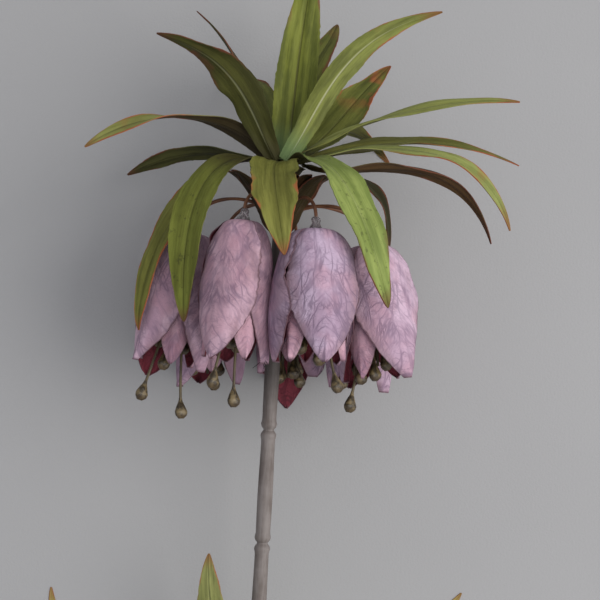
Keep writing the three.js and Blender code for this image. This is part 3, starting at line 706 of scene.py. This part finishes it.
# The sheaths' near-black tones: their dark brown deepened by painted shade under the crown.
SHEATH_SHADE_TONE = (
    *((0.07, 0.06, 0.02), (0.03, 0.024, 0.009), (0.06, 0.042, 0.016)),
    *(BROWN, 0.0, -0.3, 0.3, (0.1, 0.045, 0.02)),
)


def sheath_shell(azimuth, reach, drop, seed):
    """A leaf's base, from the stem up to the crown, dark brown and made near-black by painted shade."""
    start = around(azimuth, STEM_RADIUS + FIT_GAP, -drop)
    third = around(azimuth + 2, 0.36 * reach, -0.66 * drop)
    two_thirds = around(azimuth + 3, 0.66 * reach, -0.3 * drop)
    end = around(azimuth + 3, reach, -3.5)
    leaf = Leaf(azimuth, third, two_thirds, end, 5.2, azimuth, foot=0.6)
    return leaf_shell(leaf, np.array([start, third, two_thirds, end]), seed, 2.0, 0.5)


def make_leaves():
    for i, (ring, leaf) in enumerate(CROWN_LEAVES):
        radius = ring * BASE_RING_STEP
        seat = DISC_PEAK * (1 - radius / DISC_RADIUS) + 4 * FIT_GAP
        points = np.array([around(leaf.base, radius, seat), *leaf.route], float)
        shell = leaf_shell(leaf, points, 100 + 5 * i, PLEATS[i], 0.95)
        number = f"{i + 1:02d}"
        look = leaf_look("leaf_cloth_" + number, *LEAF_TONES[i])
        make_piece("cloth_leaf_" + number, [shell], [look], ["crown_leaf_" + number])
    shells = [sheath_shell(*sheath, 400 + 5 * k) for k, sheath in enumerate(SHEATHS)]
    make_piece("leaf_sheaths", shells, [leaf_look("sheath_cloth", *SHEATH_SHADE_TONE)], [])
    look = leaf_look("stem_leaf_cloth", *STEM_LEAF_TONE)
    for i, (whorl, leaf) in enumerate(STEM_LEAVES):
        level = np.array([0, 0, -WHORL_HEIGHTS[whorl]])
        start = around(leaf.base, STEM_RADIUS + 1.5 * FIT_GAP + LEAF_CLOTH)
        points = np.array([start, *leaf.route], float) + level
        shell = leaf_shell(leaf, points, 300 + 5 * i, 2.4, 0.7)
        number = f"{i + 1:02d}"
        make_piece("cloth_stem_leaf_" + number, [shell], [look], ["stem_leaf_" + number])


# ---- bells ----


class Bell:
    """A bell's place and size, and its own frame: top, axis to the mouth, right and back."""

    def __init__(self, azimuth, reach, drop, lean, wide, long, spin, sprig):
        a = math.radians(lean)
        self.azimuth, self.spin, self.sprig = azimuth, spin, sprig
        self.radius, self.length = BELL_RADIUS * wide, BELL_LENGTH * long
        self.top = around(azimuth, reach * RING_RADIUS, -drop)
        self.axis = around(azimuth, math.sin(a), -math.cos(a))
        self.right = unit(np.array([1.0, 0, 0]) - self.axis[0] * self.axis)
        self.back = np.cross(self.right, self.axis)

    def at(self, along, azimuth, radius):
        """The point a distance along the axis, and out from it at an azimuth in radians."""
        along, azimuth, radius = np.broadcast_arrays(along, azimuth, radius)
        out = np.cos(azimuth)[..., None] * self.right + np.sin(azimuth)[..., None] * self.back
        return self.top + along[..., None] * self.axis + radius[..., None] * out


BELLS = [
    Bell(197, 0.98, 32, 8, 1.0, 0.98, -140, 0),
    Bell(247.5, 0.98, 26, 4, 0.93, 1.0, -122, -10),
    Bell(292, 1.02, 28, 5, 1.0, 0.95, -75, 130),
    Bell(342, 1.01, 33, 8, 1.0, 0.98, -65, -30),
    Bell(27.5, 1.09, 35, -3, 0.93, 1.04, -20, 60),
    Bell(80, 1.055, 38, -2, 0.96, 1.05, -30, 30),
    Bell(133, 0.95, 38, 5, 0.96, 1.05, 100, 90),
]

# How each bell's three outer petals differ: the point of the outline (higher is blunter), the
# swing of the tip round the bell in degrees, how far the tip and the middle stand out, and
# the length against the bell's.
OUTER_TRIMS = [
    [(1.7, -4, 1.0, 0, 1), (2.0, 6, 0.5, 0.5, 1), (1.8, 24, 0.5, 0, 1.1)],
    [(1.9, -5, 0.5, 0, 1), (2.4, 4, 0, -0.8, 1), (1.8, -16, 0, -0.8, 1)],
    [(1.2, 4, 0, 0, 1), (1.6, 0, 0, 0, 1), (2.6, 30, 1.0, 2.6, 1)],
    [(1.4, 24, 1.5, 0, 1), (1.8, 0, 0, 0, 1), (1.7, 5, 0, 0, 1)],
    [(1.6, 5, 1, 0, 1), (1.8, -6, 0.5, 0, 1), (1.5, 4, 0, 0, 1)],
    [(1.7, -8, 0.5, 0, 0.88), (1.5, 0, 0, 0, 1.13), (1.9, 5, 0, 0, 0.88)],
    [(1.6, 6, 1, 0, 1), (1.8, 0, 0.5, 0, 1), (1.6, -6, 1, 0, 0.94)],
]
INNER_LENGTHS = [1, 1, 1, 1, 0.88, 0.8, 0.88]
INNER_SPREAD = 1.2  # an inner petal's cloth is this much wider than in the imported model
FLATNESS = 0.16  # how far a first petal goes from the bell's round towards a flat sheet
KEEL = 2.2  # rise of the fold along the middle of a petal's lower half


def wall_radius(along, radius, length):
    """Radius of a bell at a distance down its axis: a blunt dome, then nearly straight walls."""
    full = 0.42 * length
    dome = np.clip(along, 0.01, full) / full
    taper = np.maximum(0, along - full) / (length - full)
    return radius * dome**0.22 * (1 - 0.1 * taper**2)


def outline(share, point):
    """A petal's width at a share of its length: full, then falling to its tip."""
    widest = 0.44
    x = np.clip((share - widest) / (1 - widest), 0, 1)
    return np.maximum(1 - x**point, 0) ** 0.75


def petal_shell(bell, azimuth, radius, start, half_angle, lap, flatness, trim, seed):
    point, swing, flare, belly, share_of_length = trim
    end = share_of_length * bell.length - (1 if start else 0)

    def surface(v, u):
        share = np.maximum(v, 0) ** 1.6
        along = start + (end - start) * share
        wall = wall_radius(along - start + 0.05, radius, bell.length)
        fray = 0.05 * ripples(seed, v * 3, u) + 0.02 * ripples(seed + 1, v * 30, u * 3)
        half = np.radians(half_angle) * outline(share, point) * (1 + fray * u * u) + TIP_WIDTH / wall
        angle = math.radians(azimuth) + u * half + math.radians(swing) * share**2
        settled = np.minimum(np.maximum(v, 0) / 0.3, 1)
        flat_sheet = 0.8 / np.cos(np.minimum(np.abs(u * half), 1.1))
        reach = wall * (1 + flatness * (flat_sheet - 1) * settled) + lap * u * settled
        reach = reach + belly * np.sin(math.pi * np.clip(share, 0, 1)) + flare * share**4
        reach = reach + KEEL * (1 - np.abs(u)) * np.clip((share - 0.45) / 0.5, 0, 1)
        drape = 0.45 * ripples(seed + 2, v * 1.3, u * 0.9) * settled
        crimp = 0.5 * u**4 * ripples(seed + 3, v * 3.5, u * 0.3) * settled
        flat = np.stack([u * half * wall, along], -1)
        return bell.at(along, angle, reach + drape + crimp), flat

    return sheet(surface, PETAL_ROWS, PETAL_COLUMNS, PETAL_CLOTH, seed)


def hub_shell(bell, start, seed):
    heights = start + np.array([-0.2, -0.2, 0.2, 0.8, HUB_THICKNESS, HUB_THICKNESS])
    radii = np.array([0.05, 0.7, 1.0, 1.15, 1.15, 0.05]) * HUB_RADIUS
    path = bell.top + heights[:, None] * bell.axis + np.linspace(0, 1e-3, 6)[:, None] * bell.axis
    return tube(path, radii, 18, seed)


def outer_whorl(i, bell, seed):
    shells = [hub_shell(bell, 0, seed)]
    for k, trim in enumerate(OUTER_TRIMS[i]):
        flatness = FLATNESS / (1 if k == 0 else 3)
        sizes = (bell.radius, 0, OUTER_HALF_ANGLE, PETAL_LAP, flatness, trim)
        shells.append(petal_shell(bell, bell.spin + 120 * k, *sizes, seed + 10 * (k + 1)))
    return shells


def inner_whorl(i, bell, seed):
    shells = [hub_shell(bell, INNER_START, seed)]
    half_angle = INNER_SPREAD * INNER_HALF_ANGLE
    for k in range(3):
        trim = (1.7, 0, 0.5, 0, INNER_LENGTHS[i])
        sizes = (bell.radius - WHORL_GAP, INNER_START, half_angle, 0, FLATNESS / 3, trim)
        shells.append(petal_shell(bell, bell.spin + 60 + 120 * k, *sizes, seed + 10 * (k + 1)))
    return shells


def thread_shells(bell, seed):
    """A few threads frayed from the tip of a bell's second petal."""
    rng = np.random.default_rng(seed)
    root = bell.at(bell.length - 1, math.radians(bell.spin + 120), 0.9 * bell.radius)
    shells = []
    for k in range(7):
        start = root + rng.uniform(-2.2, 2.2, 3) * (1, 0.3, 0.6)
        bend, end = start + rng.uniform(-2, 2, 3), start + rng.uniform(-4, 4, 3) - (0, 0, 4)
        shells.append(tube(bezier([start, bend, end], 8), 0.14, 6, seed + k))
    return shells


# Each stamen's azimuth in its bell, its tip's distance from the axis and its reach against
# the petals. First those that are each bell's own, some of which hang out of it, then those
# that every bell has inside.
OWN_STAMENS = [
    [(-154, 8, 1.13), (-20, 9.6, 1.21), (-105, 4, 0.88)],
    [(-152, 7.3, 1.05), (-62, 4, 1.17)],
    [(-21, 9.6, 1.06), (-60, 4, 0.86)],
    [(-167, 12.5, 1.07), (-150, 8, 0.87), (-110, 5, 0.85)],
    [(-140, 6, 0.86)],
    [(30, 5, 0.82), (160, 4, 0.8)],
    [(-60, 6, 0.86)],
]
INNER_STAMENS = [(20, 5, 0.74), (90, 6, 0.78), (150, 5, 0.72), (265, 4, 0.76), (325, 4, 0.7)]
STAMEN_COUNT = 6


def stamens_of(bell):
    own = OWN_STAMENS[BELLS.index(bell)]
    inner = [(bell.sprig + turn, away, share) for turn, away, share in INNER_STAMENS]
    return [*own, *inner[: STAMEN_COUNT - len(own)]]


def bezier(points, count):
    """A Bezier curve through its first and last points."""
    t = np.linspace(0, 1, count)[:, None]
    order = len(points) - 1
    terms = [math.comb(order, k) * t**k * (1 - t) ** (order - k) for k in range(order + 1)]
    return sum(w * np.asarray(p, float) for w, p in zip(terms, points))


def anther_lobes(angles, share):
    """Three lobes, deeper towards the open end."""
    return 1 + 0.22 * share**2 * np.cos(3 * angles)


def stamen_shells(bell, seed):
    foot = 2 * INNER_START
    shells = [tube([bell.at(foot, 0, 0), bell.at(foot + 1.2, 0, 0)], 1.8, 12, seed)]
    for k, (turn, away, share) in enumerate(stamens_of(bell)):
        azimuth = math.radians(turn)
        reach = bell.length * share
        ends = [bell.at(foot + 0.5, azimuth, 1), bell.at(reach * 0.6, azimuth, 0.35 * away)]
        line = bezier([*ends, bell.at(reach, azimuth, away)], 24)
        shells.append(tube(line, np.linspace(0.5, 0.62, 24), 10, seed + k))
        direction = unit(line[-1] - line[-2])
        spots = np.linspace(-0.08, 1, 18)
        path = line[-1] + spots[:, None] * ANTHER_LENGTH * direction
        swell = np.interp(spots, [-0.08, 0.2, 0.45, 0.68, 0.85, 1], [0.16, 0.34, 0.72, 1.0, 0.9, 0.4])
        shells.append(tube(path, swell * ANTHER_RADIUS, 18, seed + 20 + k, 1, anther_lobes))
    pistil = [bell.at(foot + 0.5, 0, 0), bell.at(0.9 * bell.length, 0, 0)]
    shells.append(tube(pistil, 0.65, 10, seed + 9))
    return shells


def pedicel_shells(bell, stagger, seed):
    start = around(bell.azimuth, STEM_RADIUS + FIT_GAP + PEDICEL_RADIUS, -PEDICEL_HEIGHT - stagger)
    cap_top = bell.at(-CAP_LENGTH - FIT_GAP, 0, 0)
    bends = [start + around(bell.azimuth, 14, 9), cap_top - 11 * bell.axis, cap_top + bell.axis]
    line = bezier([start, *bends], 48)
    radii = PEDICEL_RADIUS * (1 + 0.1 * ripples(seed, np.linspace(0, 4, 48), np.zeros(48)))
    return [tube(line, radii, 12, seed)]


def glue_shells(bell, seed):
    spots = np.linspace(0, 1, 14)
    path = bell.at(-CAP_LENGTH - FIT_GAP + spots * (CAP_LENGTH + 0.2), 0, 0)
    radii = np.interp(spots, [0, 0.15, 0.6, 0.9, 1], [1.1, 1.7, 1.6, 2.3, 2.6])

    def lumpy(angles, share):
        return 1 + 0.2 * ripples(seed, np.cos(angles), np.sin(angles) + 2 * share)

    return [tube(path, radii, 24, seed, 0, lumpy)]


ROSE = ((0.62, 0.38, 0.45), (0.44, 0.23, 0.29))
MAROON = (0.16, 0.028, 0.04)
# Pale and deep tones of each bell's outer petals, one cloth in all: the differences are partly the cloth's
# own and partly painted light and shade, and the left ones are duller.
BELL_TONES = [
    ((0.68, 0.47, 0.57), (0.48, 0.3, 0.38)),
    ((0.65, 0.42, 0.5), (0.46, 0.27, 0.33)),
    ((0.58, 0.44, 0.57), (0.42, 0.29, 0.39)),
    ((0.69, 0.5, 0.62), (0.52, 0.35, 0.45)),
    ((0.58, 0.42, 0.53), (0.42, 0.28, 0.36)),
    ((0.5, 0.35, 0.44), (0.36, 0.23, 0.3)),
    ((0.48, 0.33, 0.42), (0.34, 0.21, 0.28)),
]


def make_bells():
    wire = plastic_look("pedicel_wire", (0.24, 0.1, 0.045), (0.1, 0.04, 0.02), 0.5, streak=0.3)
    thread = plastic_look("stamen_thread", (0.12, 0.09, 0.042), (0.045, 0.03, 0.015), 0.4)
    anther, glue = anther_look(), glue_look()
    for i, bell in enumerate(BELLS):
        number = f"{i + 1:02d}"
        seed = 1000 + 100 * i
        outer = petal_look("outer_cloth_" + number, *BELL_TONES[i], MAROON, 0.48, seed)
        inner = petal_look("inner_cloth_" + number, *ROSE, MAROON, 0.35, seed)
        shells = outer_whorl(i, bell, seed)
        make_piece("bell_outer_" + number, shells, [outer], ["outer_petals_" + number])
        shells = inner_whorl(i, bell, seed + 50)
        make_piece("bell_inner_" + number, shells, [inner], ["inner_petals_" + number])
        shells = stamen_shells(bell, seed)
        make_piece("sprig_" + number, shells, [thread, anther], ["stamens_" + number])
        shells = pedicel_shells(bell, i % 2, seed)
        make_piece("wire_" + number, shells, [wire], ["pedicel_" + number])
        make_piece("glue_" + number, glue_shells(bell, seed), [glue], [])
    black = plastic_look("frayed_thread", (0.03, 0.025, 0.025), (0.015, 0.012, 0.012), 0.7)
    make_piece("frayed_threads", thread_shells(BELLS[1], 1900), [black], [])


# ---- floor, light and camera ----


def make_floor():
    mesh = bpy.data.meshes.new("floor")
    far = 6.0
    mesh.from_pydata([(-far, -far, 0), (far, -far, 0), (far, far, 0), (-far, far, 0)], [], [(0, 1, 2, 3)])
    mesh.materials.append(floor_look())
    floor = bpy.data.objects.new("floor", mesh)
    bpy.context.scene.collection.objects.link(floor)


def area_light(name, place_at, target, size, power, colour=(1, 1, 1)):
    data = bpy.data.lights.new(name, "AREA")
    data.shape = "DISK"
    data.size, data.energy, data.color = size, power, colour
    light = bpy.data.objects.new(name, data)
    light.location = place_at
    light.rotation_euler = (Vector(target) - Vector(place_at)).to_track_quat("-Z", "Y").to_euler()
    bpy.context.scene.collection.objects.link(light)


def make_lights():
    crown = Vector((place([[0, 0, -40]])[0] * MM).tolist())
    area_light("key", crown + Vector((1.5, -0.1, 1.4)), crown, 2.1, 36, (1, 0.985, 0.96))
    area_light("sky", crown + Vector((0.1, 0.1, 2.4)), crown, 2.2, 8, (0.97, 0.98, 1))
    world = bpy.data.worlds.new("world")
    world.use_nodes = True
    world.node_tree.nodes["Background"].inputs["Color"].default_value = (0.9, 0.93, 1, 1)
    world.node_tree.nodes["Background"].inputs["Strength"].default_value = 0.47
    bpy.context.scene.world = world


VIEW_CENTRE = (10.76, -58.89)  # x and z of the flower's frame in the middle of the view
VIEW_DISTANCE = 1000
VIEW_ROLL = math.radians(3.23)


def make_camera():
    data = bpy.data.cameras.new("camera")
    data.sensor_width = 36
    data.lens = 133.33
    camera = bpy.data.objects.new("camera", data)
    right = turn_over([math.cos(VIEW_ROLL), 0, math.sin(VIEW_ROLL)])
    up = turn_over([-math.sin(VIEW_ROLL), 0, math.cos(VIEW_ROLL)])
    back = turn_over([0, -1, 0])
    spot = place([VIEW_CENTRE[0], -VIEW_DISTANCE, VIEW_CENTRE[1]]) * MM
    turn = Matrix([right.tolist(), up.tolist(), back.tolist()]).transposed().to_4x4()
    camera.matrix_world = Matrix.Translation(spot.tolist()) @ turn
    bpy.context.scene.collection.objects.link(camera)
    bpy.context.scene.camera = camera


bpy.context.scene.view_settings.view_transform = "Standard"
make_camera()
make_lights()
make_floor()
make_stem()
make_leaves()
make_bells()
